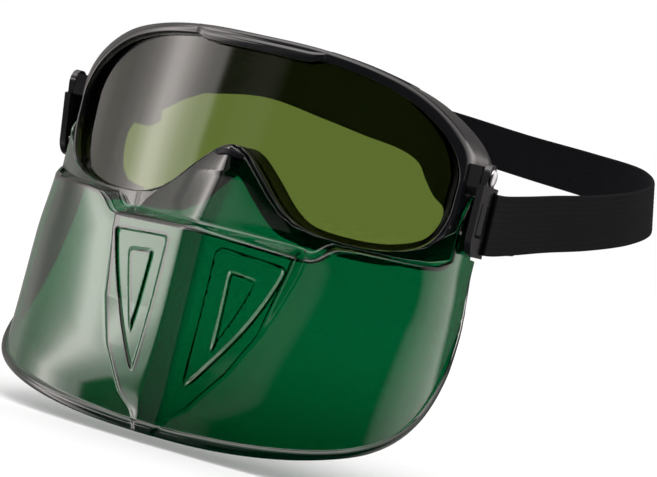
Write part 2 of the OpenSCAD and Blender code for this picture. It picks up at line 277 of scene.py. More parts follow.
# painted shade: the green darkens from the middle of the chin panel down to the shield's lower
# edge
shade_low_and_keel(green_shield, -0.118, (0.0003, 0.045, 0.012, 1), -0.06, (0.0005, 0.088, 0.026, 1))
vary(green_shield, "Roughness", 0.03, 0.06, 25)
bump(green_shield, 38, 0.015, 0.001, 1.0)
# painted shade: a darker copy of the shield's green, laid on the bead along the lower edge
bead_shade_green = material("bead_shade_green", (0.0003, 0.014, 0.006), 0.06, IOR=1.5,
                      Transmission_Weight=0.8)
vary(bead_shade_green, "Roughness", 0.04, 0.09, 40)
olive_lens = material("olive_lens", (0.112, 0.158, 0.03), 0.02, IOR=1.5,
                      Transmission_Weight=1.0)
vary(olive_lens, "Roughness", 0.015, 0.03, 30)
foam = material("foam", (0.018, 0.018, 0.019), 0.9)
vary(foam, "Base Color", (0.012, 0.012, 0.013), (0.026, 0.026, 0.028), 900, colour=True)
bump(foam, 1500, 0.7, 0.0005, 6.0)
catch_black = material("catch_black", (0.004, 0.004, 0.006), 0.35, Specular_IOR_Level=0.12)
bump(catch_black, 1800, 0.05, 0.0002)
rubber = material("rubber", (0.02, 0.02, 0.021), 0.62)
bump(rubber, 1800, 0.2, 0.0003)
steel = material("steel", (0.55, 0.56, 0.58), 0.28, Metallic=1.0)
vary(steel, "Roughness", 0.22, 0.38, 500, stretch=(1, 6, 6))

# Turns of the weave's two waves for each millimetre along and across the webbing
WEAVE_ALONG, WEAVE_ACROSS = 0.9, 0.55


def webbing_material(name):
    """Elastic with a weave in both directions, laid out by the strap's own surface map."""
    m = material(name, (0.006, 0.006, 0.007), 0.85, Specular_IOR_Level=0.08)
    links = m.node_tree.links
    uv = add_node(m, "ShaderNodeUVMap", uv_map="along")
    split = add_node(m, "ShaderNodeSeparateXYZ")
    links.new(uv.outputs["UV"], split.inputs[0])

    def wave(output, per_mm):
        scale = add_node(m, "ShaderNodeMath", operation="MULTIPLY")
        links.new(output, scale.inputs[0])
        scale.inputs[1].default_value = 2 * math.pi * per_mm
        sine = add_node(m, "ShaderNodeMath", operation="SINE")
        links.new(scale.outputs[0], sine.inputs[0])
        return sine.outputs[0]

    both = add_node(m, "ShaderNodeMath", operation="MULTIPLY")
    links.new(wave(split.outputs["X"], WEAVE_ALONG), both.inputs[0])
    links.new(wave(split.outputs["Y"], WEAVE_ACROSS), both.inputs[1])
    ramp = add_node(m, "ShaderNodeValToRGB")
    ramp.color_ramp.elements[0].color = (0.003, 0.003, 0.004, 1)
    ramp.color_ramp.elements[1].color = (0.0085, 0.0085, 0.011, 1)
    links.new(both.outputs[0], ramp.inputs["Fac"])
    shader = m.node_tree.nodes["Principled BSDF"]
    links.new(ramp.outputs["Color"], shader.inputs["Base Color"])
    relief = add_node(m, "ShaderNodeBump", Strength=0.5, Distance=0.0002)
    links.new(both.outputs[0], relief.inputs["Height"])
    links.new(relief.outputs["Normal"], shader.inputs["Normal"])
    return m


webbing = webbing_material("webbing")

# ------------------------------------------------------------------ goggle body
# Front, lens and flange lie on upright cylinders round one axis, BOW_Y behind the origin
BOW_Y = 59.0
RIM_R, LENS_R, LENS_T, FLANGE_R, FLANGE_T, SEAL_T = 129.0, 125.0, 2.0, 108.5, 2.5, 6.0
FLANGE_REAR_R = FLANGE_R - FLANGE_T
LOOP_STEPS = 12
# Half outlines in x and z from the top middle: the view through the lens, the body's outer wall
# and the opening for the face
VIEW_HALF = [(0, 29.5), (24, 29.3), (45, 26.8), (61.5, 21.3), (74, 12), (79.8, 1.5), (80.5, -9),
             (79.5, -19), (75, -28), (66, -33), (52, -34.8), (38, -34), (29, -31), (22, -26),
             (14, -17.5), (6, -10.3), (0, -8.3)]
BODY_HALF = [(0, 34.3), (24, 34), (45, 31.6), (62, 26.8), (75.5, 18), (82.6, 8), (83.1, -4.5),
             (82.8, -14), (80.5, -26), (72, -35), (58, -39.2), (40, -39.8), (27, -38.5),
             (20, -35), (12, -27.5), (5, -20.5), (0, -18.5)]
FACE_HALF = [(0, 12.5), (24, 9.5), (40, 7), (52, 5.4), (59.5, 2.2), (63.5, -4), (67, -9),
             (71, -13), (70.5, -20), (66.5, -26.5), (57, -31), (45, -32.5), (31, -31.5),
             (23, -27.5), (15, -20), (7, -13.5), (0, -11.8)]
view_loop = smooth_loop(both_sides(VIEW_HALF), LOOP_STEPS)
body_loop = smooth_loop(both_sides(BODY_HALF), LOOP_STEPS)
face_loop = smooth_loop(both_sides(FACE_HALF), LOOP_STEPS)


def bow(loop, r):
    """Lifts an x, z outline onto the bow of radius r; r may be one number or one per point."""
    x, z = loop[:, 0], loop[:, 1]
    return np.c_[x, BOW_Y - np.sqrt(np.maximum(1, np.square(r) - x * x)), z]


# Height of the shield's upper edge against the distance round its collar from the nose
TOP_EDGE = [(0, -8.8), (3, -9.6), (7, -12.4), (12, -17.6), (18, -24), (24, -29.6), (30, -33),
            (40, -34.6), (52, -35), (62, -34.2), (70, -32), (77, -28.4), (83, -24.5),
            (90, -20.5), (95, -13), (99, -6), (107, -5), (109.5, -13), (111, -29.5),
            (130, -30.5)]
# Beyond this y the collar's upper edge is measured along y as well as along x
COLLAR_TURN_Y = -45
# The seat's radius, how far it reaches above the collar's edge, and the height of its slope
SEAT_R, SEAT_ABOVE, SEAT_SLOPE = 125.8, 0.9, 1.2


def collar_top(x, y):
    """Height of the shield's upper edge at a place on its collar."""
    return lookup(abs(x) + max(0, y - COLLAR_TURN_Y), TOP_EDGE)


def seated(loop, r):
    """Front radius r, drawn back where the shield's collar lies over the body."""
    edge = np.array([collar_top(x, y) for x, y, z in bow(loop, r)])
    t = np.clip((edge + SEAT_ABOVE - loop[:, 1]) / SEAT_SLOPE, 0, 1)
    return mix(r, min(r, SEAT_R), t * t * (3 - 2 * t))


# The rim from the lens outwards: a small bevel, then a broad flat that rounds off. Each station is
# its share of the way from the view to the body outline, and how far it lies behind the rim.
RIM_PROFILE = [(0, 4), (0, 3.2), (0.02, 2.3), (0.06, 1.3), (0.11, 0.7), (0.18, 0.3), (0.28, 0.1),
               (0.4, 0), (0.55, 0), (0.68, 0.1), (0.79, 0.4), (0.88, 0.9), (0.94, 1.5),
               (0.98, 2.2)]
WALL_RADII = (125.8, 122, 116, 110, 107.2)
# Stations as a distance outwards from the named outline and a radius: the corner from the wall to
# the flange's rear, the edge round the face, and the wall round the view with the lens groove
CORNER = [(-0.4, 106.3), (-1.3, FLANGE_REAR_R)]
FACE_EDGE = [(0.25, 106.2), (0, 107.2), (0.3, 108.3)]
LENS_GROOVE = [(-0.3, 108.9), (0, 110), (0, 116), (0, 123), (1.55, 123), (1.55, 125)]


def build_frame():
    front = [mix(view_loop, body_loop, share) for share, _ in RIM_PROFILE]
    rings = [bow(loop, seated(loop, RIM_R - behind))
             for loop, (_, behind) in zip(front, RIM_PROFILE)]
    rings += [bow(body_loop, r) for r in WALL_RADII]
    rings += [bow(grown(body_loop, d), r) for d, r in CORNER]
    rings += [bow(mix(body_loop, face_loop, q), FLANGE_REAR_R) for q in (0.15, 0.4, 0.7, 0.93)]
    rings += [bow(grown(face_loop, d), r) for d, r in FACE_EDGE]
    rings += [bow(mix(face_loop, view_loop, q), FLANGE_R) for q in (0.12, 0.4, 0.7, 0.9)]
    rings += [bow(grown(view_loop, d), r) for d, r in LENS_GROOVE]
    shell = loft_ring("goggle_body", rings, "goggle")
    recalc(shell)
    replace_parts(shell, "frame_body")
    paint(shell, gloss_black)


# How far the lens reaches into its groove, its rings from the middle out, their common centre's
# height, and how far its edge is rounded
LENS_IN_GROOVE, LENS_RINGS, LENS_CENTRE_Z, LENS_ROUND = 1.5, 26, 10.0, 0.15


def build_lens():
    centre = np.array([0.0, LENS_CENTRE_Z])
    edge = grown(view_loop, LENS_IN_GROOVE)
    shares = [k / LENS_RINGS for k in range(1, LENS_RINGS + 1)]
    front_r, back_r = LENS_R, LENS_R - LENS_T

    def layer(r, drop, order):
        return [bow(centre + (edge - centre) * s, r - (drop if s == 1 else 0)) for s in order]

    rings = np.array(layer(front_r, LENS_ROUND, shares) + layer(back_r, -LENS_ROUND, shares[::-1]))
    rows, cols = rings.shape[:2]
    verts = rings.reshape(-1, 3).tolist()
    verts += [[0, BOW_Y - r, LENS_CENTRE_Z] for r in (front_r, back_r)]
    faces = grid_faces(rows, cols, close_cols=True)
    front_mid, back_mid, last = len(verts) - 2, len(verts) - 1, (rows - 1) * cols
    faces += [(front_mid, (j + 1) % cols, j) for j in range(cols)]
    faces += [(back_mid, last + j, last + (j + 1) % cols) for j in range(cols)]
    obj = new_mesh("visor_lens", verts, faces, "goggle")
    recalc(obj)
    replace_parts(obj, "lens")
    paint(obj, olive_lens)


# The foam's section: share of the way across, and share of the way from its front to its rear.
# Its middle swells a little past the rear.
SEAL_BACK = [(0, 0.35), (0.03, 0.7), (0.12, 0.92), (0.28, 1), (0.5, 1), (0.72, 1), (0.88, 0.92),
             (0.97, 0.7), (1, 0.35)]
SEAL_SWELL, SEAL_EDGE = 0.1, 0.3
# Distances of the foam from the body's outer wall, the face opening's edge and the flange
SEAL_FROM_WALL, SEAL_FROM_FACE, SEAL_GAP = 2.7, 1.7, 0.05


def build_seal():
    outer, inner = grown(body_loop, -SEAL_FROM_WALL), grown(face_loop, SEAL_FROM_FACE)
    front, rear = FLANGE_REAR_R - SEAL_GAP, FLANGE_REAR_R - SEAL_T
    profile = [(0, front - SEAL_EDGE)]
    profile += [(q, mix(front, rear, depth) - (SEAL_SWELL if q == 0.5 else 0))
                for q, depth in SEAL_BACK]
    profile += [(1, front - SEAL_EDGE), (0.93, front), (0.5, front), (0.07, front)]
    rings = [bow(mix(outer, inner, q), r) for q, r in profile]
    obj = loft_ring("foam_seal", rings, "goggle")
    recalc(obj)
    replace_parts(obj, "face_seal")
    paint(obj, foam)


PLATE_HALF, PLATE_TOP, PLATE_FRONT_R, PLATE_BACK_R = 27, 33.7, 129.15, 127.2
PLATE_LOW = [(0, 27.9), (20, 27.8), (22.5, 28.2), (27, 30.2)]
# Where the chamfer at each end starts, how far the plate stands proud of the rim, and how far its
# upper edge rolls back into it
PLATE_CHAMFER_X, PLATE_LIFT, PLATE_ROLL = 21.5, 0.95, 1.6
PLATE_COLS, PLATE_ROWS = 90, 16


def on_bow(r, x):
    """y at x on the upright cylinder of radius r round the bow's axis."""
    return BOW_Y - math.sqrt(r ** 2 - x * x)


def build_brow_tab():
    """A blank plate on the brow: chamfered ends, its upper edge running out into the rim."""
    front, back = [], []
    for j in range(PLATE_ROWS + 1):
        v = j / PLATE_ROWS
        roll = PLATE_ROLL * ease((v - 0.45) / 0.55)
        rise = PLATE_LIFT * ease(v / 0.12 + 0.15) * (1 - ease((v - 0.35) / 0.65))
        for i in range(PLATE_COLS + 1):
            x = PLATE_HALF * (2 * i / PLATE_COLS - 1)
            end = clamp01((abs(x) - PLATE_CHAMFER_X) / (PLATE_HALF - PLATE_CHAMFER_X))
            z = mix(lookup(abs(x), PLATE_LOW), PLATE_TOP, v)
            lift = rise * (1 - end ** 4)
            front.append((x, on_bow(PLATE_FRONT_R + lift - roll, x), z))
            back.append((x, on_bow(PLATE_BACK_R - roll, x), z))
    n, rows, cols = len(front), PLATE_ROWS + 1, PLATE_COLS + 1
    faces = grid_faces(rows, cols) + grid_faces(rows, cols, flip=True, start=n)
    faces += edge_faces(rows, cols, n)
    obj = new_mesh("brow_plate", front + back, faces, "goggle")
    recalc(obj)
    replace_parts(obj, "brow_tab")
    paint(obj, gloss_black)


build_frame()
build_lens()
build_seal()
build_brow_tab()

# ------------------------------------------------------------------ face shield
# The shield is drawn in directions round a point REAR_Y in the middle plane: the collar lies on
# an upright cylinder of radius COLLAR_R, the wall below it on a rounded rectangle
REAR_Y = -14.0
COLLAR_R = 128.6
SHIELD_T = 1.8
# Height of the ledge under the collar against the distance from the middle
STEP_EDGE = [(0, -43.2), (30, -44.2), (38, -44.6), (40, -43.4), (42.5, -40), (45, -37.8),
             (50, -36.8), (70, -36), (78, -35), (84, -32.5)]
# Half width of the chin panel and of the nose saddle at each height
CHIN_EDGE = [(-119, 3), (-113, 7), (-108, 13), (-92, 24), (-75, 31.5), (-50, 37), (-41, 38)]
SADDLE_EDGE = [(-45, 37), (-36, 31), (-30, 25.4), (-23.8, 19.8), (-17.4, 13.9), (-10, 6),
               (-8, 5)]
# y of the saddle's ridge at each height
NOSE_RIDGE = [(-45, -84.5), (-20, -73.4), (-8, -71)]
# y of the chin's middle at each height, and how far the panel's edge stands in front of the wall
CHIN_RIDGE = [(-119, -86.6), (-108, -87.6), (-92, -86.8), (-75, -86), (-41, -86)]
CHIN_PROUD = [(-116, 0.2), (-106, 0.9), (-75, 1.2), (-50, 5.6), (-41, 6.2)]


def half_width(z):
    return mix(86.4, 88.0, ease((-33 - z) / 27))


def half_depth(z):
    return mix(56.5, 72.0, ease((-33 - z) / 82))


def squareness(z):
    """Exponent of the wall's outline: 2 is an ellipse, more is squarer."""
    return mix(3.4, 2.9, ease((-40 - z) / 60))


def base_reach(a, z):
    n = squareness(z)
    return ((abs(math.sin(a)) / half_width(z)) ** n
            + (abs(math.cos(a)) / half_depth(z)) ** n) ** (-1 / n)


def collar_reach(a):
    d = BOW_Y - REAR_Y
    return math.sqrt(COLLAR_R ** 2 - (d * math.sin(a)) ** 2) - d * math.cos(a)


def upper_reach(a, z):
    return min(base_reach(a, z), collar_reach(a))


def in_direction(a, r):
    return r * math.sin(a), REAR_Y - r * math.cos(a)


def direction_of(x, z):
    """Direction in which the wall's outline stands x from the middle."""
    n = squareness(z)
    return math.atan2(x, half_depth(z) * (1 - (x / half_width(z)) ** n) ** (1 / n))


# Width of the slope between the chin panel's edge and the wall
WALL_STEP = 2


def column_way(k, z):
    """k runs from 0 at the middle through 1 at the chin panel's edge to 2 at the rear."""
    if k <= 1:
        return direction_of(k * lookup(z, CHIN_EDGE), z)
    return mix(direction_of(lookup(z, CHIN_EDGE) + WALL_STEP, z), math.pi / 2, k - 1)


# Rounded triangles on the chin panel: corners in x, z clockwise from the top, and how far each is
# sunk; the inner one is raised again
PANELS = [([(10.5, -47.5), (36.0, -49.3), (33.9, -57.0), (31.2, -65.0), (26.9, -74.5),
            (21.6, -84.5), (16.0, -93.5), (10.8, -101.0)], 1.0),
          ([(15.8, -54.0), (27.8, -55.4), (25.6, -65.0), (21.8, -76.0), (16.6, -88.0)], -0.8)]
# How sharp the triangles' corners are, how far their slope starts outside the outline, and its
# width
CORNER_SHARPNESS, SLOPE_START, SLOPE_WIDTH = 1.3, 0.3, 1.1


def sunk(x, z):
    """How far the chin panel's face is sunk at x, z."""
    total = 0.0
    for corners, depth in PANELS:
        near = 0.0
        for (x0, z0), (x1, z1) in zip(corners, corners[1:] + corners[:1]):
            d = ((z1 - z0) * (x - x0) - (x1 - x0) * (z - z0)) / math.hypot(x1 - x0, z1 - z0)
            near += math.exp(-CORNER_SHARPNESS * d)
        inside = SLOPE_START - math.log(near) / CORNER_SHARPNESS
        total += depth * ease(inside / SLOPE_WIDTH)
    return total


# Half width of the chin's flat middle, and how softly it turns into the sides
KEEL_HALF, KEEL_SOFT = 4.3, 0.9
# The saddle's ridge is rounded over this share of the saddle's half width
RIDGE_ROUND = 0.15
# The lower edge: its height in the middle, and how far it would rise to the sides
LOW_Z, LOW_RISE = -120.5, 83


def keel_ramp(x):
    """Stays near 0 over the chin's flat middle and then grows like x."""
    u = x - KEEL_HALF
    return (u + math.sqrt(u * u + KEEL_SOFT)) / 2


def chin_face(x, z, edge, wall):
    """A flat middle and two flat sides that end a little before the wall at the panel's edge."""
    middle = lookup(z, CHIN_RIDGE)
    side = wall - lookup(z, CHIN_PROUD)
    rise = (side - middle) / max(keel_ramp(edge) - keel_ramp(0), 2)
    return middle + rise * (keel_ramp(x) - keel_ramp(0)) + sunk(x, z)


def low_z(a):
    """Height of the lower edge in the direction a."""
    q = 1 - abs(math.cos(a)) ** 0.72
    return LOW_Z + LOW_RISE * (1 - (1 - q ** 1.45) ** 0.7)


def collar_point(k, z):
    """Point of the collar, or of the nose saddle, in column k at the height z."""
    a = column_way(k, z)
    x, y = in_direction(a, upper_reach(a, z))
    t = min(1, x / lookup(z, SADDLE_EDGE))
    roof = ((math.hypot(t, RIDGE_ROUND) - RIDGE_ROUND)
            / (math.hypot(1, RIDGE_ROUND) - RIDGE_ROUND))
    return np.array([x, mix(lookup(z, NOSE_RIDGE), y, roof), z])


def base_point(k, z):
    """Point of the wall or the chin panel in column k at the height z."""
    a = column_way(k, z)
    x, y = in_direction(a, base_reach(a, z))
    if k <= 1:
        edge = lookup(z, CHIN_EDGE)
        wall_way = direction_of(edge, z)
        y = chin_face(x, z, edge, in_direction(wall_way, base_reach(wall_way, z))[1])
    return np.array([x, y, z])


# Heights at which a column's upper edge, its ledge and its lower edge are looked up
TOP_LOOK_Z, LEDGE_LOOK_Z, LOW_LOOK_Z = -30, -38, -116
# Height of the ledge's slope on the chin panel and beyond it, and the least height of each band
LEDGE_TALL, LEDGE_SHORT, BAND_MIN = 4.5, 1, 0.4


def shield_limits(k):
    """Heights of column k: upper edge, the ledge's top, the ledge's foot and lower edge."""
    a = column_way(k, TOP_LOOK_Z)
    top = collar_top(*in_direction(a, upper_reach(a, TOP_LOOK_Z)))
    low = low_z(column_way(k, LOW_LOOK_Z))
    level = lookup(in_direction(a, upper_reach(a, LEDGE_LOOK_Z))[0], STEP_EDGE)
    high = min(level + mix(LEDGE_TALL, LEDGE_SHORT, clamp01((k - 1) / 0.2)), top - BAND_MIN)
    foot = max(min(level, high - BAND_MIN), mix(low, high, 0.5 if k > 1 else 0))
    return top, high, foot, low


# The bead along the lower edge: the row where it starts and how many rows it takes, how far its
# lip stands out, and how tall the wall above it is where the lip starts and is full
LIP_ROW, LIP_ROWS, LIP = 2.945, 0.065, 1.7
LIP_WALL, LIP_FADE = 12, 30


def column_points(k, rows):
    """Points down one column, k from 0 to 2, rows from 0 at the top to 3 at the lower edge."""
    top, high, foot, low = shield_limits(k)
    step_top, step_foot = collar_point(k, high), base_point(k, foot)
    points = []
    for row in rows:
        if row <= 1:
            p = collar_point(k, mix(top, high, row))
        elif row < 2:
            t = row - 1
            p = mix(step_top, step_foot, t)
            p[1] = mix(step_top[1], step_foot[1], ease(t))
        else:
            p = base_point(k, mix(foot, low, row - 2))
            round_bead = math.sin(math.pi * clamp01((row - LIP_ROW) / LIP_ROWS))
            lip = LIP * max(0.0, round_bead) ** 0.6 * clamp01((foot - low - LIP_WALL) / LIP_FADE)
            sideways = min(1, p[0] / half_width(p[2])) ** 2
            p = p + lip * np.array([sideways, -math.sqrt(1 - sideways * sideways), 0])
        points.append(p)
    return np.array(points)


# Columns over half the chin panel and over one side, and the column just beyond the panel's edge
CHIN_COLUMNS, SIDE_COLUMNS, BEYOND_EDGE = 90, 84, 1.0001
# Rows are denser from here to the lower edge, and the bead's painted shade starts a little later
DENSE_ROW, BEAD_ROW = 0.94, 2.947


def shield_columns(rows):
    """Columns of the right half, from the middle over the chin panel and its edge to the rear."""
    inside = [column_points(k, rows) for k in np.linspace(0, 1, CHIN_COLUMNS)]
    first = column_points(BEYOND_EDGE, rows)
    slope = []
    for t in (0.15, 0.35, 0.55, 0.75, 0.9):
        column = mix(inside[-1], first, t)
        column[:, 1] = mix(inside[-1][:, 1], first[:, 1], ease(t))
        slope.append(column)
    beyond = 1 + np.linspace(0, 1, SIDE_COLUMNS)[1:] ** 0.92
    return inside + slope + [first] + [column_points(k, rows) for k in beyond]


def build_shield():
    rows = np.concatenate([np.linspace(0, 1, 22), np.linspace(1, 2, 9)[1:],
                           2 + np.linspace(0, DENSE_ROW, 130)[1:],
                           2 + np.linspace(DENSE_ROW, 1, 22)[1:]])
    right = shield_columns(rows)
    left = [c * [-1, 1, 1] for c in right[:0:-1]]
    skin = np.array(left + right).transpose(1, 0, 2)
    out = np.cross(np.gradient(skin, axis=1), np.gradient(skin, axis=0))
    out /= np.linalg.norm(out, axis=2, keepdims=True) + 1e-12
    nr, nc = skin.shape[:2]
    if out[nr // 2, nc // 2, 1] > 0:
        out = -out
    inner = skin - SHIELD_T * out
    verts = np.concatenate([skin.reshape(-1, 3), inner.reshape(-1, 3)])
    n = nr * nc
    faces = grid_faces(nr, nc, flip=True) + grid_faces(nr, nc, start=n) + edge_faces(nr, nc, n)
    obj = new_mesh("green_face_shield", verts, faces, "shield")
    recalc(obj)
    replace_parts(obj, "face_shield")
    paint(obj, green_shield)
    obj.data.materials.append(bead_shade_green)
    bead = int(np.searchsorted(rows, BEAD_ROW))
    for face in obj.data.polygons:
        if all(v % n // nc >= bead for v in face.vertices):
            face.material_index = 1


build_shield()

# The catch: half its width, its rear, the height of its middle, how far it droops to the ends,
# half its height at the ends, and how much taller it is in the middle
CATCH_HALF, CATCH_REAR, CATCH_Z, CATCH_DROOP = 6.0, -66.5, -11.7, 0.9
CATCH_TIP, CATCH_TALL = 0.3, 0.95
# How far it stands proud of the saddle at its edge and, rounded, in its middle, and how far its
# front keeps to the ridge instead of following the saddle back
CATCH_PROUD, CATCH_ROUND, CATCH_FLAT = 0.1, 0.5, 0.6
CATCH_STATIONS, CATCH_ARC = 40, 16


def saddle_front(x, z):
    """y of the shield's saddle at x, z."""
    return collar_point(abs(x) / lookup(z, CHIN_EDGE), z)[1]


def build_nose_catch():
    """The catch on the nose bridge: it fills the arched slot under the saddle's top."""
    rings = []
    for i in range(CATCH_STATIONS + 1):
        u = 2 * i / CATCH_STATIONS - 1
        x, middle, taper = CATCH_HALF * u, CATCH_Z - CATCH_DROOP * u * u, 1 - u ** 4
        half = CATCH_TIP + CATCH_TALL * math.sqrt(taper)
        ring = []
        for j in range(CATCH_ARC + 1):
            turn = math.pi * j / CATCH_ARC
            z = middle + half * math.cos(turn)
            proud = CATCH_PROUD + CATCH_ROUND * math.sin(turn) ** 0.7 * taper
            front = mix(saddle_front(x, z), lookup(z, NOSE_RIDGE), CATCH_FLAT * taper)
            ring.append((x, front - proud, z))
        rings.append(ring + [(x, CATCH_REAR, middle - half), (x, CATCH_REAR, middle + half)])
    obj = loft_bar("saddle_catch", rings, "goggle")
    recalc(obj)
    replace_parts(obj, "nose_catch")
    paint(obj, catch_black)


build_nose_catch()

# ------------------------------------------------------------------ strap
CLIP_X, CLIP_T = 88.4, 2.5
STRAP_W, STRAP_T = 24.0, 1.4
# The doubled parts are a little narrower and thinner
DOUBLED_W, DOUBLED_T = STRAP_W - 0.6, STRAP_T - 0.2
# The clips' pivot, and how far the wearer's right clip is turned up about it
PIVOT_Y, PIVOT_Z, RIGHT_TILT = -33.0, 2.4, 15.0
BAND_X = CLIP_X + CLIP_T + 0.9
# How far the band leans back behind the head
LEAN = 30.0


def turned(s):
    """The station s mirrored to the wearer's right and turned up about the pivot."""
    c, n = math.cos(math.radians(RIGHT_TILT)), math.sin(math.radians(RIGHT_TILT))
    y, z = s[1] - PIVOT_Y, s[2] - PIVOT_Z
    return (-s[0], PIVOT_Y + y * c - z * n, PIVOT_Z + y * n + z * c, s[3])


# Stations of the strap's middle line: x, y, z and the lean in degrees
CLIP_END = [(BAND_X, -24.3, -14.9, 0), (BAND_X + 0.2, -10, -14.2, 0)]
HEAD_ROUTE = [(94, 14, -11.5, 0), (98, 42, -7.6, 0), (105.5, 80, -2.2, 2), (112.5, 120, 5, 5),
              (112, 157, 12.6, 10), (99, 185, 19.5, 18), (71, 200, 23, 26),
              (35, 206, 25.5, LEAN), (0, 208, 28.5, LEAN), (-35, 206, 31, LEAN),
              (-70, 200, 34.5, 24), (-96, 185, 36.3, 15), (-109.5, 157, 34.5, 6),
              (-111.2, 120, 25.7, 0), (-106, 84, 16, 0), (-100.2, 44, 5.3, 0),
              (-95.4, 10, -3.8, 0)]

# Ribs across the webbing, points for each, the width of each thin edge and the ribs' depth
RIBS, RIB_POINTS, SELVEDGE, RIB_DEPTH = 11, 8, 0.4, 0.22


def section_of(width, thick):
    """Outline of the webbing's section: ribbed faces and thin edges."""
    face = []
    for k in range(RIBS * RIB_POINTS + 1):
        t = k / (RIBS * RIB_POINTS)
        groove = 1 - abs(math.sin(math.pi * t * RIBS)) ** 0.6
        face.append(((t - 0.5) * (width - 2 * SELVEDGE), thick / 2 - RIB_DEPTH * groove))
    return [(-width / 2, 0)] + face + [(width / 2, 0)] + [(s, -h) for s, h in face[::-1]]


def ribbon(name, route, width, thick, steps):
    """Elastic webbing along a route, with a surface map in millimetres along and across."""
    line = smooth_line(route, steps)
    place = line[:, :3]
    run = np.gradient(place, axis=0)
    flat = np.cross(run, [0, 0, 1])
    flat /= np.linalg.norm(flat, axis=1, keepdims=True)
    up = np.cross(flat, run)
    up /= np.linalg.norm(up, axis=1, keepdims=True)
    lean = np.radians(line[:, 3:4])
    wide = up * np.cos(lean) - flat * np.sin(lean)
    out = flat * np.cos(lean) + up * np.sin(lean)
    section = section_of(width, thick)
    rings = np.array([place + wide * s + out * h for s, h in section]).transpose(1, 0, 2)
    obj = loft_bar(name, rings, "strap")
    recalc(obj)
    length = np.r_[0, np.cumsum(np.linalg.norm(np.diff(place, axis=0), axis=1))]
    layer = obj.data.uv_layers.new(name="along")
    where = [(run_length, s) for run_length in length for s, _ in section]
    for loop in obj.data.loops:
        layer.data[loop.index].uv = where[loop.vertex_index]
    paint(obj, webbing)
    return obj


BAND = CLIP_END + HEAD_ROUTE + [turned(CLIP_END[1]), turned(CLIP_END[0])]
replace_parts(ribbon("elastic_band", BAND, STRAP_W, STRAP_T, 14), "strap_band")
FOLD_X = CLIP_X - 0.95
FOLD = [(92.6, 14, -12.6, 0), (91.1, 0, -13.6, 0), (BAND_X - 1.6, -12, -14.3, 0),
        (FOLD_X, -17.5, -14.7, 0), (FOLD_X, -21.8, -14.9, 0), (FOLD_X + 0.5, -23.8, -14.9, 0),
        (FOLD_X + 1.8, -24.4, -14.9, 0), (BAND_X - 1.4, -24.4, -14.9, 0)]
fold_left = ribbon("band_fold_left", FOLD, DOUBLED_W, DOUBLED_T, 8)
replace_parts(fold_left, "strap_fold_left")
fold_right = ribbon("band_fold_right", [turned(s) for s in FOLD], DOUBLED_W, DOUBLED_T, 8)
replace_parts(fold_right, "strap_fold_right")
TAIL = [(-99.35, 26, 0.5, 0), (-101.95, 44, 5.3, 0), (-107.75, 84, 16, 0),
        (-110.07, 100, 20.3, 0)]
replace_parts(ribbon("band_tail", TAIL, DOUBLED_W, DOUBLED_T, 14), "strap_tail")

# ------------------------------------------------------------------ carried CAD nodes
for names, finish in [
        (("lug_left", "lug_right", "clip_left", "clip_right", "strap_slider"), gloss_black),
        (("top_vent_left", "top_vent_right", "lower_vent_left", "lower_vent_right"), satin_black),
        (("grip_pad_left", "grip_pad_right"), rubber),
        (("pin_left", "pin_right"), steel)]:
    for node_name in names:
        paint(nodes[node_name], finish)

# ------------------------------------------------------------------ camera
# Angles in degrees, the distance in metres, the lens and the sensor in millimetres
AZIMUTH, ELEVATION, ROLL = 21.8, -1.75, 13.85
DISTANCE, FOCAL_LENGTH, SENSOR_WIDTH = 0.85, 114.1096, 36
# Where the camera points: metres to the right of the origin and below it
AIM_RIGHT, AIM_DOWN = 0.019, 0.0351


def place_camera():
    a, e, r = (math.radians(v) for v in (AZIMUTH, ELEVATION, ROLL))
    right = Vector((math.cos(a), math.sin(a), 0))
    ahead = Vector((-math.sin(a) * math.cos(e), math.cos(a) * math.cos(e), -math.sin(e)))
    up = right.cross(ahead)
    spot = -DISTANCE * ahead
    look = (right * AIM_RIGHT - up * AIM_DOWN - spot).normalized()
    tilted_up = up * math.cos(r) - right * math.sin(r)
    side = look.cross(tilted_up).normalized()
    tilted_up = side.cross(look)
    data = bpy.data.cameras.new("camera")
    data.sensor_width = SENSOR_WIDTH
    data.lens = FOCAL_LENGTH
    cam = bpy.data.objects.new("camera", data)
    bpy.context.scene.collection.objects.link(cam)
    turn = Matrix((side, tilted_up, -look)).transposed()
    cam.matrix_world = Matrix.Translation(spot) @ turn.to_4x4()
    bpy.context.scene.camera = cam


place_camera()

# ------------------------------------------------------------------ floor and light
scene = bpy.context.scene
scene.view_settings.view_transform = "Standard"

# The studio that shows in polished surfaces: brightness against azimuth in degrees and against the
# direction's height, how far the pattern turns with height, and the light overhead
ROUND = [(-180, 0.12), (-125, 0.5), (-100, 1.2), (-90, 1.0), (-83, 1.15), (-76, 1.8), (-70, 2.9),
         (-66, 4.8), (-62, 7.4), (-58, 7.6), (-54, 5.8), (-49, 3.7), (-44, 2.6), (-40, 2.4),
         (-37.5, 0.15), (-32, 0.1), (-28, 0.2), (-20, 0.3), (-16, 0.2), (-13, 0), (82, 0),
         (92, 0.7), (116, 1.4), (150, 1.5), (156, 0.15), (180, 0.1)]
LEANING = [(-1, 0), (0.02, 0), (0.24, 0.27), (0.4, 0.27), (0.47, 0), (1, 0.06)]
HEIGHT = [(-1, 0.02), (-0.8, 0.05), (-0.55, 0.8), (-0.4, 1), (0.08, 1), (0.24, 1.25),
          (0.4, 1.25), (0.5, 1), (0.62, 1), (0.8, 0.35), (1, 0.25)]
OVERHEAD = [(-1, 0), (0.62, 0), (0.85, 1.5), (1, 2.2)]
# Brightness for matt surfaces, and the studio's slightly warm colour
FILL, WARM = 1.06, (1, 0.93, 0.91, 1)


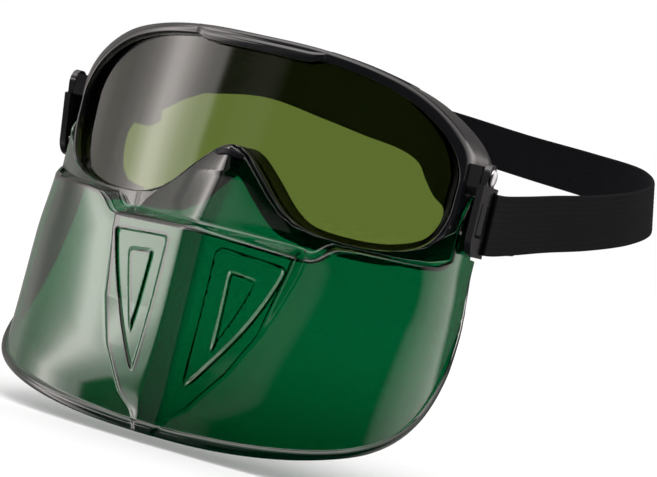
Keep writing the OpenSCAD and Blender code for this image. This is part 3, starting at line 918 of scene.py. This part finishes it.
def build_world():
    """White for the camera, FILL for matt surfaces and the studio for reflections."""
    world = bpy.data.worlds.new("studio")
    scene.world = world
    world.use_nodes = True
    tree = world.node_tree
    links = tree.links

    def math_node(operation, first, second):
        node = tree.nodes.new("ShaderNodeMath")
        node.operation = operation
        for socket, value in zip(node.inputs, (first, second)):
            if isinstance(value, (int, float)):
                socket.default_value = value
            else:
                links.new(value, socket)
        return node.outputs[0]

    def profile(value, low, high, stops):
        """A table of levels over low..high, as a colour ramp scaled by its highest level."""
        top = max(level for _, level in stops)
        place = math_node("DIVIDE", math_node("SUBTRACT", value, low), high - low)
        ramp = tree.nodes.new("ShaderNodeValToRGB")
        bar = ramp.color_ramp.elements
        while len(bar) < len(stops):
            bar.new(0.5)
        for element, (at, _) in zip(bar, stops):
            element.position = (at - low) / (high - low)
        for element, (_, level) in zip(bar, stops):
            element.color = (*(3 * [level / top]), 1)
        links.new(place, ramp.inputs["Fac"])
        return math_node("MULTIPLY", ramp.outputs["Color"], top)

    coords = tree.nodes.new("ShaderNodeTexCoord")
    split = tree.nodes.new("ShaderNodeSeparateXYZ")
    links.new(coords.outputs["Generated"], split.inputs[0])
    around = math_node("ARCTAN2", split.outputs["X"],
                       math_node("MULTIPLY", split.outputs["Y"], -1.0))
    # the tall soft box leans towards the middle higher up
    around = math_node("SUBTRACT", around, profile(split.outputs["Z"], -1, 1, LEANING))
    mirror = math_node("MULTIPLY",
                       profile(around, -math.pi, math.pi,
                               [(math.radians(a), level) for a, level in ROUND]),
                       profile(split.outputs["Z"], -1, 1, HEIGHT))
    mirror = math_node("ADD", mirror, profile(split.outputs["Z"], -1, 1, OVERHEAD))
    path = tree.nodes.new("ShaderNodeLightPath")
    seen = math_node("MAXIMUM", path.outputs["Is Camera Ray"], path.outputs["Is Transmission Ray"])
    glossy = path.outputs["Is Glossy Ray"]
    level = math_node("ADD", math_node("MULTIPLY", mirror, glossy),
                      math_node("MULTIPLY", FILL, math_node("SUBTRACT", 1.0, glossy)))
    level = math_node("ADD", math_node("MULTIPLY", level, math_node("SUBTRACT", 1.0, seen)), seen)
    links.new(level, tree.nodes["Background"].inputs["Strength"])
    tint = tree.nodes.new("ShaderNodeMix")
    tint.data_type = "RGBA"
    tint.inputs["A"].default_value = (1, 1, 1, 1)
    tint.inputs["B"].default_value = WARM
    links.new(math_node("MULTIPLY", glossy, math_node("SUBTRACT", 1.0, seen)),
              tint.inputs["Factor"])
    links.new(tint.outputs["Result"], tree.nodes["Background"].inputs["Color"])


build_world()

# The soft box overhead: its direction in degrees, distance and size in metres, power in watts
BOX_AZIMUTH, BOX_ELEVATION, BOX_DISTANCE = -20, 78, 1.2
BOX_SIZE, BOX_POWER = (1.2, 0.8), 4


def build_top_box():
    """Faces the object and doesn't show itself."""
    a, e = math.radians(BOX_AZIMUTH), math.radians(BOX_ELEVATION)
    spot = BOX_DISTANCE * Vector((math.sin(a) * math.cos(e), -math.cos(a) * math.cos(e),
                                  math.sin(e)))
    data = bpy.data.lights.new("top_box", "AREA")
    data.shape = "RECTANGLE"
    data.size, data.size_y = BOX_SIZE
    data.energy = BOX_POWER
    lamp = bpy.data.objects.new("top_box", data)
    lamp.location = spot
    lamp.rotation_euler = (-spot).to_track_quat("-Z", "Y").to_euler()
    lamp.visible_camera = False
    lamp.visible_transmission = False
    scene.collection.objects.link(lamp)


build_top_box()

FLOOR_HALF, FLOOR_BELOW = 30.0, 0.003


def build_floor():
    """A plain pale floor just under the object."""
    lowest = min(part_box(n)[0].z for n in nodes)
    mesh = bpy.data.meshes.new("floor")
    s = FLOOR_HALF
    mesh.from_pydata([(-s, -s, 0), (s, -s, 0), (s, s, 0), (-s, s, 0)], [], [(0, 1, 2, 3)])
    obj = bpy.data.objects.new("floor", mesh)
    scene.collection.objects.link(obj)
    obj.location.z = lowest - FLOOR_BELOW
    paint(obj, material("floor_white", (0.95, 0.95, 0.95), 0.9))
    obj.visible_glossy = False


build_floor()
